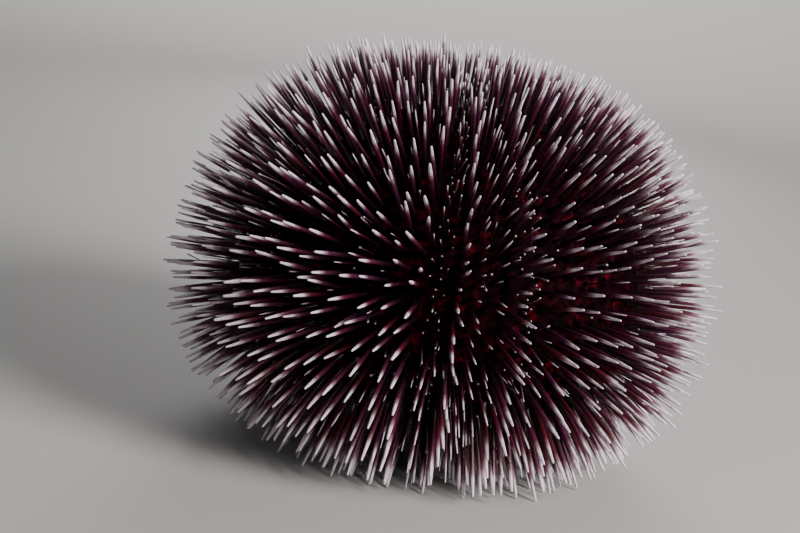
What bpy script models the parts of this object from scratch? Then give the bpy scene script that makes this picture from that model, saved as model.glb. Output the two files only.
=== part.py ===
"""A violet sea urchin at life size, resting mouth down on its lowest spines.

The shell is ten sectors, five wide ones and five narrow ones, that meet along its axis. Each sector carries its
own spines. The disc at the top, the mouth membrane underneath and the five teeth are pieces of their own.
Metres, +Z up, with the floor at z = 0 and the axis through x = y = 0."""

import math
from typing import NamedTuple

import bmesh
import bpy
import numpy as np
from mathutils import Matrix, Vector

MM = 0.001
GAP = 0.3 * MM

# The shell's outline
SHELL_RADIUS = 55 * MM
SHELL_HEIGHT = 83 * MM
BELLY_CLEARANCE = 9.5 * MM
WAIST_SHARE = 0.40
CROWN_SQUARENESS = 2.15
BELLY_SQUARENESS = 2.35
MOUTH_SINK = 3.2 * MM
MOUTH_SINK_RADIUS = 27 * MM
OUTLINE_STEPS = 2000

# The sectors, counted round the axis from the one nearest -Y
RAYS = 5
NARROW_ANGLE = math.radians(28)
WIDE_ANGLE = math.radians(360 / RAYS) - NARROW_ANGLE
FRONT = math.radians(-81)
NARROW_STEPS = 3
WIDE_STEPS = 4
SECTOR_ROWS = 15

# The disc at the top and the membrane at the mouth, both let into the sectors
DISC_RADIUS = 7 * MM
DISC_DEPTH = 6 * MM
MEMBRANE_RADIUS = 14 * MM
MEMBRANE_DEPTH = 7 * MM
ROUND_STEPS = 20

# The teeth, which meet on the axis in a hole in the membrane
MOUTH_RADIUS = 4.6 * MM
MOUTH_DEPTH = 3.5 * MM
TOOTH_REACH = 2.6 * MM
TOOTH_TIP = 0.8 * MM
TOOTH_STEPS = 3

# Small plates and knobs on the disc and the membrane
PLATE_HEIGHT = 0.7 * MM
PLATE_SINK = 1.5 * MM
GENITAL_PLATE = (4.3 * MM, 1.95 * MM)
POROUS_PLATE_GROWTH = 1.15
OCULAR_PLATE = (5.7 * MM, 0.95 * MM)
VENT_DOME = (1.9 * MM, 1.3 * MM)
MOUTH_FOOT = (8.2 * MM, 0.9 * MM, 2.4 * MM)
MOUTH_FOOT_SPREAD = math.radians(11)

# Spines, as long as the real ones, each a slim three-sided cone, blunt only where it stands on the floor
SPINE_LENGTH = 19.5 * MM
SPINE_LENGTH_BY_DISC = 15 * MM
SPINE_LENGTH_BY_MOUTH = 13 * MM
SHORTENING_REACH = 26 * MM
LENGTH_VARIES = 0.045
SPINE_BASE = 1.75 * MM
FLOOR_TIP = 0.80 * MM
STRONG = 1.08
THIN = 0.6
THREE_SIDED = 0.605
ROOT_DEPTH = 2.8 * MM
TIP_LEVEL = 0.2 * MM
LEAN = 0.05
SPLAY_SHARE = 0.6
SPINE_ROOM = 1.85 * MM
TRIES = 9
SEED = 1758

# Where they grow, in rows: two strong columns and two thin ones in a narrow sector, and beside them, among its tube
# feet, a few thin ones above the waist and closer ones below it; columns at one pitch in a wide sector
ROW_PITCH = 4.1 * MM
COLUMN_PITCH = 4.0 * MM
NARROW_ROW_PITCH = 2.75 * MM
STRONG_COLUMN = 6.1 * MM
THIN_COLUMN = 2.1 * MM
FEET_COLUMN = 10.5 * MM
FEET_BAND = 1.9 * MM
SEAM_MARGIN = 2.1 * MM
EDGE_MARGIN = 1.9 * MM
PLACE_VARIES = 0.15 * MM
THIN_INSTEAD = 0.07
THIN_COLUMN_FILL = 0.8
FEET_COLUMN_FILL = 0.42
BELLY_COLUMN_FILL = 0.85
BELLY_COLUMN_STRENGTH = 0.85

# Of those laid out, one in this many is left out of the solids, evenly over each kind
LEFT_OUT_WIDE = 8
LEFT_OUT_STRONG = 3
LEFT_OUT_THIN = 2

VIOLET = (0.20, 0.045, 0.13, 1.0)
DARK_VIOLET = (0.10, 0.02, 0.06, 1.0)
BROWN_PINK = (0.32, 0.13, 0.12, 1.0)
TOOTH_WHITE = (0.85, 0.82, 0.74, 1.0)

WAIST_LEVEL = BELLY_CLEARANCE + WAIST_SHARE * SHELL_HEIGHT
CROWN_HEIGHT = SHELL_HEIGHT * (1 - WAIST_SHARE)
BELLY_DEPTH = SHELL_HEIGHT * WAIST_SHARE


def clear_scene():
    for item in list(bpy.data.objects):
        bpy.data.objects.remove(item, do_unlink=True)


def finish(name, colour, roughness):
    """A plain material."""
    material = bpy.data.materials.new(name)
    material.use_nodes = True
    shader = material.node_tree.nodes["Principled BSDF"]
    shader.inputs["Base Color"].default_value = colour
    shader.inputs["Roughness"].default_value = roughness
    shader.inputs["Metallic"].default_value = 0.0
    return material


def place(name, form, collection, material):
    """Makes an object of a bmesh."""
    mesh = bpy.data.meshes.new(name)
    form.to_mesh(mesh)
    form.free()
    mesh.materials.append(material)
    thing = bpy.data.objects.new(name, mesh)
    collection.objects.link(thing)
    return thing


class Outline:
    """The shell's outline read by the distance along it, from the top of the axis."""

    def __init__(self):
        polar = np.linspace(0, math.pi, OUTLINE_STEPS + 1)
        side = np.sin(polar).clip(0)
        up = np.cos(polar)
        above = up > 0
        power = np.where(above, 2 / CROWN_SQUARENESS, 2 / BELLY_SQUARENESS)
        depth = np.where(above, CROWN_HEIGHT, BELLY_DEPTH)
        self.radius = SHELL_RADIUS * side**power
        sunk = MOUTH_SINK * (1 - self.radius / MOUTH_SINK_RADIUS).clip(0) * ~above
        self.height = WAIST_LEVEL + np.sign(up) * depth * np.abs(up) ** power + sunk
        steps = np.hypot(np.diff(self.radius), np.diff(self.height))
        self.along = np.concatenate([[0], np.cumsum(steps)])
        self.out = -np.gradient(self.height, self.along)
        self.up = np.gradient(self.radius, self.along)
        self.widest = int(np.argmax(self.radius))

    def at(self, distance):
        """Point (radius, height) and outward direction at that distance."""
        radius, height, out, up = (
            float(np.interp(distance, self.along, values)) for values in (self.radius, self.height, self.out, self.up)
        )
        return Vector((radius, height)), Vector((out, up)).normalized()

    def distance_to(self, radius, below):
        """Distance at which the outline has that radius, on its upper or its lower half."""
        half = slice(None, self.widest, -1) if below else slice(self.widest)
        return float(np.interp(radius, self.radius[half], self.along[half]))


OUTLINE = Outline()
TOP_EDGE = OUTLINE.distance_to(DISC_RADIUS, below=False)
MOUTH_EDGE = OUTLINE.distance_to(MEMBRANE_RADIUS, below=True)
TOP = OUTLINE.at(TOP_EDGE)[0]
MOUTH = OUTLINE.at(MOUTH_EDGE)[0]


def sector_face():
    """Outline of a sector's side, from the axis round the outer line and back."""
    outer = []
    for i in range(SECTOR_ROWS + 1):
        point = OUTLINE.at(TOP_EDGE + (MOUTH_EDGE - TOP_EDGE) * i / SECTOR_ROWS)[0]
        outer.append((point.x, point.y))
    disc_floor = TOP.y - DISC_DEPTH - GAP
    membrane_roof = MOUTH.y + MEMBRANE_DEPTH + GAP
    inner = [(0.0, membrane_roof), (0.0, disc_floor), (TOP.x, disc_floor)]
    return inner + outer + [(MOUTH.x, membrane_roof)]


def wedge(face_points, middle, angle, steps):
    """The solid that a sector's side sweeps out. It is moved out along its middle line, for an even gap all over."""
    form = bmesh.new()
    face = form.faces.new([form.verts.new((radius, 0.0, height)) for radius, height in face_points])
    bmesh.ops.spin(form, geom=[face], angle=angle, steps=steps, axis=(0, 0, 1), cent=(0, 0, 0))
    bmesh.ops.rotate(form, verts=form.verts, cent=(0, 0, 0), matrix=Matrix.Rotation(middle - angle / 2, 3, "Z"))
    bmesh.ops.remove_doubles(form, verts=form.verts, dist=1e-6)
    shift = GAP / 2 / math.sin(angle / 2)
    bmesh.ops.translate(form, verts=form.verts, vec=(shift * math.cos(middle), shift * math.sin(middle), 0))
    bmesh.ops.recalc_face_normals(form, faces=form.faces)
    return form


class Spine:
    """A spine's line from its root on the shell to its tip, and its thickness as a share of most spines'."""

    def __init__(self, root, way, length, strength):
        self.root = root
        self.way = way
        self.length = length
        self.strength = strength

    def end(self):
        return self.root + self.way * self.length

    def clear_of(self, other):
        """Whether two spines pass each other with room between, along their whole lines."""
        room = SPINE_ROOM * (self.strength + other.strength) / 2
        if (self.root - other.root).length > self.length + other.length + room:
            return True
        return gap_between(self.root, self.end(), other.root, other.end()) > room

    def form(self):
        """The closed cone, its root sunk into the shell and its tip cut flat where it stands on the floor."""
        side = self.way.orthogonal().normalized()
        across = self.way.cross(side)
        form = bmesh.new()
        on_floor = self.end().z < 2 * TIP_LEVEL
        rings = []
        for distance, thick in ((-ROOT_DEPTH, SPINE_BASE), (self.length, FLOOR_TIP if on_floor else 0)):
            centre = self.root + self.way * distance
            wide = thick * self.strength * THREE_SIDED
            ring = []
            for i in range(3 if thick else 1):
                turn = 2 * math.pi * i / 3
                point = centre + (side * math.cos(turn) + across * math.sin(turn)) * wide
                point.z = max(point.z, 0.0)
                ring.append(form.verts.new(point))
            rings.append(ring)
        root, tip = rings
        form.faces.new(root)
        if on_floor:
            form.faces.new(tip)
        for i in range(3):
            j = (i + 1) % 3
            corners = [root[i], root[j], tip[j % len(tip)], tip[i % len(tip)]]
            form.faces.new(list(dict.fromkeys(corners)))
        bmesh.ops.recalc_face_normals(form, faces=form.faces)
        return form


class Place(NamedTuple):
    """A column's place in half a sector, and what grows in it."""

    across: float
    band: float
    down: float
    fill: float
    shares: tuple
    strength: float
    left_out: int


FULL = (1.0, 1.0)


def gap_between(a, b, c, d):
    """Shortest distance between the line from a to b and the line from c to d."""
    u, v, w = b - a, d - c, a - c
    uu, uv, vv, uw, vw = u.dot(u), u.dot(v), v.dot(v), u.dot(w), v.dot(w)
    spread = uu * vv - uv * uv
    s = min(1.0, max(0.0, (uv * vw - vv * uw) / spread)) if spread > 1e-15 else 0.0
    t = min(1.0, max(0.0, (uv * s + vw) / vv))
    s = min(1.0, max(0.0, (uv * t - uw) / uu))
    return ((a + u * s) - (c + v * t)).length


def length_at(distance):
    """How long spines are at that distance along the outline: shorter by the disc and by the mouth."""
    from_disc = min(1.0, (distance - TOP_EDGE) / SHORTENING_REACH)
    from_mouth = min(1.0, (MOUTH_EDGE - distance) / SHORTENING_REACH)
    by_disc = SPINE_LENGTH_BY_DISC + (SPINE_LENGTH - SPINE_LENGTH_BY_DISC) * from_disc
    by_mouth = SPINE_LENGTH_BY_MOUTH + (SPINE_LENGTH - SPINE_LENGTH_BY_MOUTH) * from_mouth
    return min(by_disc, by_mouth)


def splayed(root, way, length):
    """Turns a spine that would reach below the floor outward, until its tip lies on it."""
    drop = (root.z - TIP_LEVEL) / length
    if way.z >= -drop:
        return way
    away = Vector((root.x, root.y, 0)).normalized()
    flat = (away + Vector((way.x, way.y, 0)) * SPLAY_SHARE).normalized()
    return flat * math.sqrt(max(0.0, 1 - drop * drop)) + Vector((0, 0, -drop))


def root_and_way(distance, angle):
    """Point on the shell, and the way out from it, at a distance along the outline and an angle round the axis."""
    point, out = OUTLINE.at(distance)
    turn = Matrix.Rotation(angle, 3, "Z")
    return turn @ Vector((point.x, 0, point.y)), turn @ Vector((out.x, 0, out.y))


def grow(chance, distance, angle, share, strength, others):
    """A spine with a chance lean that passes clear of the others, or None where there is no room."""
    distance += chance.normal(0, PLACE_VARIES)
    angle += chance.normal(0, PLACE_VARIES) / OUTLINE.at(distance)[0].x
    length = length_at(distance) * share * (1 + chance.normal(0, LENGTH_VARIES))
    root, out = root_and_way(distance, angle)
    for attempt in range(TRIES):
        lean = Vector(chance.normal(0, LEAN, 3)) * (1 - attempt / TRIES)
        spine = Spine(root, splayed(root, (out + lean).normalized(), length), length, strength)
        if all(spine.clear_of(other) for other in others):
            return spine
    return None


def wide_places(radius):
    """The columns of half a wide sector, the outermost a little stronger, where its edge has that radius."""
    room = radius * WIDE_ANGLE / 2 - SEAM_MARGIN
    if room <= 0:
        return []
    count = max(1, int(room / COLUMN_PITCH + 1))
    step = room / (count - 0.5)
    places = []
    for i in range(count):
        strength = STRONG if i == 0 else 1.0
        places.append(Place(room - i * step if count > 1 else room, 0.0, 0.0, 1.0, FULL, strength, LEFT_OUT_WIDE))
    return places


def narrow_places(radius, below):
    """The columns of half a narrow sector: strong, thin, and among the tube feet thin above the waist, not below."""
    share = radius / SHELL_RADIUS
    room = radius * NARROW_ANGLE / 2 - SEAM_MARGIN
    places = []
    if room > 0.4 * MM:
        strong = min(STRONG_COLUMN * share, room)
        places.append(Place(strong, 0.0, 0.0, 1.0, FULL, 1.0, LEFT_OUT_STRONG))
    if share > 0.5:
        down = NARROW_ROW_PITCH / 2
        places.append(Place(THIN_COLUMN * share, 0.0, down, THIN_COLUMN_FILL, (0.55, 0.92), THIN, LEFT_OUT_THIN))
        away, band = FEET_COLUMN * share, FEET_BAND * share
        if below:
            strength = BELLY_COLUMN_STRENGTH
            places.append(Place(away, band / 2, down, BELLY_COLUMN_FILL, (0.8, 1.0), strength, LEFT_OUT_THIN))
        else:
            places.append(Place(away, band, down, FEET_COLUMN_FILL, (0.45, 0.85), THIN, LEFT_OUT_THIN))
    return places


def sector_spines(sector, grown):
    """Spines of one sector, in rows across it. The two halves of a row are half a row apart, as its plates are."""
    wide = sector % 2 == 1
    middle = FRONT + math.pi * sector / RAYS
    pitch = ROW_PITCH if wide else NARROW_ROW_PITCH
    span = MOUTH_EDGE - TOP_EDGE - 2 * EDGE_MARGIN
    rows = round(span / pitch)
    kept = []
    for row in range(rows + 1):
        for side in (-1, 1):
            distance = TOP_EDGE + EDGE_MARGIN + span * (row + (0.5 if side > 0 else 0)) / rows
            if distance > MOUTH_EDGE - EDGE_MARGIN:
                continue
            radius = OUTLINE.at(distance)[0].x
            below = distance > OUTLINE.along[OUTLINE.widest]
            for column, spot in enumerate(wide_places(radius) if wide else narrow_places(radius, below)):
                chance = np.random.default_rng((SEED, sector, row, 2 * column + (side > 0)))
                if chance.random() > spot.fill:
                    continue
                thin_instead = chance.random() < THIN_INSTEAD and wide and column > 0
                across = spot.across + chance.uniform(-1, 1) * spot.band
                share = chance.uniform(*((0.55, 0.85) if thin_instead else spot.shares))
                strength = THIN if thin_instead else spot.strength
                angle = middle + side * across / radius
                spine = grow(chance, distance + spot.down, angle, share, strength, grown)
                if spine:
                    grown.append(spine)
                    if (row + column + (side > 0)) % spot.left_out:
                        kept.append(spine)
    return kept


def fused(name, base, pieces, urchin, material):
    """Joins a node's small pieces to its base in one union, and keeps its one closed surface."""
    node = place(name, base, urchin, material)
    parts = bpy.data.collections.new(name + "_pieces")
    bpy.context.scene.collection.children.link(parts)
    for i, piece in enumerate(pieces):
        place(f"{name}_piece_{i}", piece, parts, material)
    union = node.modifiers.new("union", "BOOLEAN")
    union.operation = "UNION"
    union.solver = "MANIFOLD"
    union.operand_type = "COLLECTION"
    union.collection = parts
    bpy.context.view_layer.objects.active = node
    bpy.ops.object.modifier_apply(modifier=union.name)
    for piece in list(parts.objects):
        bpy.data.objects.remove(piece, do_unlink=True)
    bpy.data.collections.remove(parts)
    keep_largest(node.data)
    return node


def keep_largest(mesh):
    """Drops all but the largest closed surface of a mesh."""
    form = bmesh.new()
    form.from_mesh(mesh)
    waiting = set(form.verts)
    surfaces = []
    while waiting:
        surface = []
        front = [waiting.pop()]
        while front:
            vert = front.pop()
            surface.append(vert)
            for edge in vert.link_edges:
                other = edge.other_vert(vert)
                if other in waiting:
                    waiting.remove(other)
                    front.append(other)
        surfaces.append(surface)
    surfaces.sort(key=len)
    loose = [vert for surface in surfaces[:-1] for vert in surface]
    bmesh.ops.delete(form, geom=loose, context="VERTS")
    form.to_mesh(mesh)
    form.free()


def round_solid(profile, steps):
    """A closed solid of revolution about the axis, from a profile of (radius, height) points."""
    form = bmesh.new()
    rings = []
    for radius, height in profile:
        count = 1 if radius == 0 else steps
        turns = [2 * math.pi * i / steps for i in range(count)]
        rings.append([form.verts.new((radius * math.cos(t), radius * math.sin(t), height)) for t in turns])
    for low, high in zip(rings, rings[1:]):
        for i in range(steps):
            j = (i + 1) % steps
            corners = [low[i % len(low)], low[j % len(low)], high[j % len(high)], high[i % len(high)]]
            form.faces.new(list(dict.fromkeys(corners)))
    bmesh.ops.recalc_face_normals(form, faces=form.faces)
    return form


def knob(centre, way, radius, low, high, sides, top_share):
    """A short tapered post round a line through its centre, from low to high along that line."""
    side = way.orthogonal().normalized()
    across = way.cross(side)
    form = bmesh.new()
    rings = []
    for distance, wide in ((low, radius), (high, radius * top_share)):
        ring = []
        for i in range(sides):
            turn = 2 * math.pi * i / sides
            away = (side * math.cos(turn) + across * math.sin(turn)) * wide
            ring.append(form.verts.new(centre + way * distance + away))
        rings.append(ring)
    form.faces.new(rings[0])
    form.faces.new(rings[1])
    for i in range(sides):
        j = (i + 1) % sides
        form.faces.new((rings[0][i], rings[0][j], rings[1][j], rings[1][i]))
    bmesh.ops.recalc_face_normals(form, faces=form.faces)
    return form


def disc_pieces():
    """Plates of the disc: five genital ones, of which one is porous and larger, five ocular ones and the vent."""
    up = Vector((0, 0, 1))
    pieces = [knob(Vector((0, 0, TOP.y)), up, VENT_DOME[0], -PLATE_SINK, VENT_DOME[1], 7, 0.55)]
    for ray in range(RAYS):
        between = FRONT + 2 * math.pi * (ray + 0.5) / RAYS
        away, size = GENITAL_PLATE
        if ray == 0:
            size *= POROUS_PLATE_GROWTH
        centre = Vector((away * math.cos(between), away * math.sin(between), TOP.y))
        pieces.append(knob(centre, up, size, -PLATE_SINK, PLATE_HEIGHT, 5, 0.8))
        along = FRONT + 2 * math.pi * ray / RAYS
        away, size = OCULAR_PLATE
        centre = Vector((away * math.cos(along), away * math.sin(along), TOP.y))
        pieces.append(knob(centre, up, size, -PLATE_SINK, PLATE_HEIGHT, 5, 0.8))
    return pieces


def membrane_pieces():
    """The ten tube feet round the mouth, in pairs in line with the narrow sectors."""
    pieces = []
    away, size, length = MOUTH_FOOT
    for ray in range(RAYS):
        for side in (-1, 1):
            angle = FRONT + 2 * math.pi * ray / RAYS + side * MOUTH_FOOT_SPREAD
            centre = Vector((away * math.cos(angle), away * math.sin(angle), MOUTH.y))
            pieces.append(knob(centre, Vector((0, 0, -1)), size, -PLATE_SINK, length, 6, 0.75))
    return pieces


def centre_on_floor(urchin):
    """Moves everything so that the middle of the overall box is on the axis and its foot on the floor."""
    corners = [vert.co for thing in urchin.objects for vert in thing.data.vertices]
    low = Vector([min(c[i] for c in corners) for i in range(3)])
    high = Vector([max(c[i] for c in corners) for i in range(3)])
    shift = Vector((-(low.x + high.x) / 2, -(low.y + high.y) / 2, -low.z))
    for thing in urchin.objects:
        thing.data.transform(Matrix.Translation(shift))


def main():
    clear_scene()
    urchin = bpy.data.collections.new("sea_urchin")
    bpy.context.scene.collection.children.link(urchin)
    disc_shell = finish("disc_plates", DARK_VIOLET, 0.5)
    narrow_skin = finish("narrow_sector_skin", DARK_VIOLET, 0.5)
    wide_skin = finish("wide_sector_skin", VIOLET, 0.5)
    membrane_skin = finish("mouth_membrane_skin", BROWN_PINK, 0.45)
    tooth_white = finish("tooth_white", TOOTH_WHITE, 0.35)

    grown = []
    spines = [sector_spines(sector, grown) for sector in range(2 * RAYS)]
    side = sector_face()
    for ray in range(RAYS):
        middle = FRONT + 2 * math.pi * ray / RAYS
        base = wedge(side, middle, NARROW_ANGLE, NARROW_STEPS)
        cones = [spine.form() for spine in spines[2 * ray]]
        fused(f"ambulacrum_{ray + 1}", base, cones, urchin, narrow_skin)
        base = wedge(side, middle + math.pi / RAYS, WIDE_ANGLE, WIDE_STEPS)
        cones = [spine.form() for spine in spines[2 * ray + 1]]
        fused(f"interambulacrum_{ray + 1}", base, cones, urchin, wide_skin)

    rim = TOP.x - GAP
    disc = [(0, TOP.y - DISC_DEPTH), (rim, TOP.y - DISC_DEPTH), (rim, TOP.y), (0, TOP.y + PLATE_HEIGHT / 2)]
    fused("apical_disc", round_solid(disc, ROUND_STEPS), disc_pieces(), urchin, disc_shell)

    rim = MOUTH.x - GAP
    membrane = [
        (0, MOUTH.y + MEMBRANE_DEPTH),
        (rim, MOUTH.y + MEMBRANE_DEPTH),
        (rim, MOUTH.y),
        (MOUTH_RADIUS, MOUTH.y - 1 * MM),
        (MOUTH_RADIUS, MOUTH.y + MOUTH_DEPTH),
        (0, MOUTH.y + MOUTH_DEPTH),
    ]
    fused("peristome", round_solid(membrane, ROUND_STEPS), membrane_pieces(), urchin, membrane_skin)

    tooth_root = MOUTH.y + MOUTH_DEPTH - GAP
    tooth_side = [
        (0, tooth_root),
        (MOUTH_RADIUS - 2 * GAP, tooth_root),
        (MOUTH_RADIUS - 3 * GAP, MOUTH.y),
        (TOOTH_TIP, MOUTH.y - TOOTH_REACH),
        (0, MOUTH.y - TOOTH_REACH),
    ]
    for ray in range(RAYS):
        between = FRONT + 2 * math.pi * (ray + 0.5) / RAYS
        place(f"tooth_{ray + 1}", wedge(tooth_side, between, 2 * math.pi / RAYS, TOOTH_STEPS), urchin, tooth_white)
    centre_on_floor(urchin)
    print("spines laid out:", len(grown), "in the solids:", sum(len(kept) for kept in spines))


main()
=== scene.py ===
"""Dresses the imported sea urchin: one skin over its shell, spines, tube feet and small pincers, the plates at
the top and the mouth underneath, on a plain studio floor. In metres, +Z up, in the frame of the solids."""

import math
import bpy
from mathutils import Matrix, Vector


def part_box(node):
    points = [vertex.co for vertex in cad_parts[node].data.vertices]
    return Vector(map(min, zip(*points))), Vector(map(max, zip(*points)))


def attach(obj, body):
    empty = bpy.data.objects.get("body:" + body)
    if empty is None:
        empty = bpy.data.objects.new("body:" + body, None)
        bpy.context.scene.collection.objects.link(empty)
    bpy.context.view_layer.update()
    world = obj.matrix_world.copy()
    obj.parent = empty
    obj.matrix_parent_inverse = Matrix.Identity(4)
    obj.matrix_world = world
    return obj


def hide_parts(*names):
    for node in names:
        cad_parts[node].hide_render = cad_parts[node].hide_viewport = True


bl_info = {
    "name": "Violet Sea Urchin",
    "version": (1, 0, 0),
    "blender": (4, 5, 0),
    "location": "View3D > Sidebar > Sea Urchin",
    "description": "Builds a violet sea urchin at life size, with its materials and a studio round it",
    "category": "Add Mesh",
}

from typing import NamedTuple

import bpy
import numpy as np
from bpy.props import FloatProperty, FloatVectorProperty, IntProperty, PointerProperty
from mathutils import Matrix, Vector

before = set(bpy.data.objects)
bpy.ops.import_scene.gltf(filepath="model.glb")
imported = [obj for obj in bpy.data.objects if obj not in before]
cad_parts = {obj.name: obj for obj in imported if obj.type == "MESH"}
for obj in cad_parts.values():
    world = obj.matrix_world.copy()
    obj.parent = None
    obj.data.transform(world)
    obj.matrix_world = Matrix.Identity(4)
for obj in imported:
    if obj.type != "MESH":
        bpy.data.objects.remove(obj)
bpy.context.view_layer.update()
MM = 0.001
FULL_TURN = 2 * math.pi
RAYS = 5
NARROW_ANGLE = math.radians(28)
WIDE_ANGLE = math.radians(360 / RAYS) - NARROW_ANGLE
# How far the slice that a sector's spines are taken from reaches past the sector, on both sides together
SLICE_SPARE = 0.04
FRONT = math.radians(-81)
NARROW_NODES = [f"ambulacrum_{ray + 1}" for ray in range(RAYS)]
WIDE_NODES = [f"interambulacrum_{ray + 1}" for ray in range(RAYS)]
TOOTH_NODES = [f"tooth_{ray + 1}" for ray in range(RAYS)]

# Where the spines stand and how they stray, as in the solids
EDGE_MARGIN = 1.9 * MM
TIP_LEVEL = 0.2 * MM
SPLAY_SHARE = 0.6
PLACE_VARIES = 0.15 * MM
LENGTH_VARIES = 0.045
THICKNESS_VARIES = 0.09
TRIES = 9
FULL = (1.0, 1.0)
STRONG = 1.08
THIN = 0.6
THIN_INSTEAD = 0.07
THIN_SHARES = (0.55, 0.85)
STRONG_COLUMN = 6.1 * MM
THIN_COLUMN = 2.1 * MM
THIN_COLUMN_FILL = 0.8
THIN_COLUMN_SHARES = (0.55, 0.92)
FEET_COLUMN = 10.5 * MM
FEET_BAND = 1.9 * MM
FEET_COLUMN_FILL = 0.42
FEET_COLUMN_SHARES = (0.45, 0.85)
BELLY_COLUMN_FILL = 0.85
BELLY_COLUMN_SHARES = (0.8, 1.0)
BELLY_COLUMN_STRENGTH = 0.85

# Strands rooted farther apart than this can't touch
NEAR = 42 * MM

# Thickness of spines by the disc, where they reach full length, at the waist and on the belly
STOUTNESS = (0.86, 1.10, 1.10, 1.16)
BELLY_DEPTH = 12 * MM

# Fine spines: the share of the places above the waist that they may take, and their shares of a full length
SMALL_FILL_ABOVE = 0.55
SMALL_SHARES = (0.35, 0.8)

# Tube feet stand three and three along a slant, one in four is hidden or gone, and some are stretched out.
FEET_IN_ROW = 3
FEET_FROM_EDGE = 1.1 * MM
FEET_STEP = 1.75 * MM
FEET_SLANT = 0.9 * MM
FEET_GONE = 0.25
FEET_OUT = 0.28
FOOT_LENGTHS = (1.2, 3.6)
FOOT_LENGTHS_OUT = (7, 15)
FOOT_THICKNESS = 0.36 * MM

# Pincer organs: how many places are tried, and their sizes
PINCERS = 420
PINCER_LENGTHS = (3.0, 7.5)
PINCER_THICKNESS = 0.26 * MM


def middle_of(node):
    """Where the axis stands: the middle of a round CAD node, seen from above."""
    low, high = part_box(node)
    return Vector(((low[0] + high[0]) / 2, (low[1] + high[1]) / 2, 0))


AXIS = middle_of("peristome")


def ray_angle(ray):
    """The angle of the middle of a narrow sector, and with a half added that of the wide sector after it."""
    return FRONT + FULL_TURN * ray / RAYS


def steps_round(count):
    """The angles of that many even steps round."""
    return FULL_TURN * np.arange(count) / count


def linear(code):
    """The linear colour of an sRGB hex value."""
    parts = [int(code[i : i + 2], 16) / 255 for i in (1, 3, 5)]
    return tuple(c / 12.92 if c <= 0.04045 else ((c + 0.055) / 1.055) ** 2.4 for c in parts)


def length_prop(name, description, default):
    words = {"name": name, "description": description}
    return FloatProperty(**words, default=default, unit="LENGTH", precision=5, min=0)


def colour_prop(name, description, code):
    return FloatVectorProperty(
        name=name, description=description, default=linear(code), subtype="COLOR", size=3, min=0, max=1
    )


class URCHIN_PG_shell(bpy.types.PropertyGroup):
    """Sizes of the shell under the skin, as in the solids."""

    radius: length_prop("Radius", "Radius of the shell at its widest", 55 * MM)
    height: length_prop("Height", "Height of the shell", 83 * MM)
    clearance: length_prop("Clearance", "Height of the shell's lowest part above the floor", 9.5 * MM)
    waist: FloatProperty(name="Waist", description="Share of the height below the widest level", default=0.40)
    crown: FloatProperty(name="Crown", description="Squareness of the outline above the waist", default=2.15)
    belly: FloatProperty(name="Belly", description="Squareness of the outline below the waist", default=2.35)
    mouth_sink: length_prop("Mouth sink", "How far the shell rises toward the mouth", 3.2 * MM)
    mouth_sink_radius: length_prop("Mouth sink radius", "Radius within which it rises", 27 * MM)
    disc_radius: length_prop("Disc radius", "Radius of the plated disc at the top", 7 * MM)
    membrane_radius: length_prop("Membrane radius", "Radius of the membrane round the mouth", 14 * MM)


class URCHIN_PG_spines(bpy.types.PropertyGroup):
    """Sizes of the spines and how densely they stand."""

    length: length_prop("Length", "Length of a spine on the sides", 19.5 * MM)
    length_by_disc: length_prop("Length by disc", "Length of a spine next to the disc", 15 * MM)
    length_by_mouth: length_prop("Length by mouth", "Length of a spine next to the mouth", 13 * MM)
    reach: length_prop("Shortening reach", "Distance over which spines reach full length", 26 * MM)
    base: length_prop("Base thickness", "Thickness of a spine above its collar", 1.24 * MM)
    tip: length_prop("Tip thickness", "Thickness of a spine under its blunt tip", 0.60 * MM)
    row: length_prop("Row pitch", "Distance from row to row in the wide sectors", 4.1 * MM)
    narrow_row: length_prop("Narrow row pitch", "Distance from row to row in the narrow sectors", 2.75 * MM)
    column: length_prop("Column pitch", "Distance from column to column in the wide sectors", 4.0 * MM)
    seam_margin: length_prop("Seam margin", "Least distance of a spine from the side of its sector", 2.1 * MM)
    room: length_prop("Room", "Least distance between the middle lines of two spines", 1.85 * MM)
    lean: FloatProperty(
        name="Lean",
        description="How far spines stray from straight out",
        default=0.05,
        subtype="ANGLE",
    )
    small: IntProperty(
        name="Small spines",
        description="How many places are tried for a fine short one",
        default=1600,
    )
    seed: IntProperty(name="Seed", description="Seed of every chance draw", default=1758)


class URCHIN_PG_colours(bpy.types.PropertyGroup):
    """Colours of the animal and of the studio."""

    # Painted shade: the root colour is partly the spine's own and partly darkened for the shade at the spines'
    # feet.
    spine_root_and_shade: colour_prop("Spine root", "Colour of a spine at its collar", "#16050F")
    spine_shaft: colour_prop("Spine shaft", "Colour along a spine", "#4E203B")
    spine_wine: colour_prop("Redder shaft", "Colour along the reddest spines", "#551826")
    spine_upper: colour_prop("Spine upper part", "Colour under the white end", "#846C79")
    spine_tip: colour_prop("Spine end", "Colour of the end", "#DDCDDA")
    # Painted shade: the skin colours are partly the skin's own and partly darkened for the shade that falls
    # between the spines.
    skin: colour_prop("Skin", "Colour of the skin", "#1C0309")
    skin_dark: colour_prop("Dark skin", "Colour of the skin's dark flecks", "#080104")
    skin_red: colour_prop("Red skin", "Colour of the skin's red patches", "#560612")
    foot: colour_prop("Tube foot", "Colour of a tube foot's stalk", "#4A1822")
    foot_end: colour_prop("Tube foot end", "Colour of a tube foot's disc", "#A99AA1")
    plate: colour_prop("Disc plate", "Colour of the plates of the disc", "#3A1A2C")
    membrane: colour_prop("Membrane", "Colour of the mouth membrane", "#6B2B33")
    tooth: colour_prop("Tooth", "Colour of a tooth", "#E9E3D2")
    floor: colour_prop("Floor", "Colour of the studio floor", "#959391")


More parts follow.
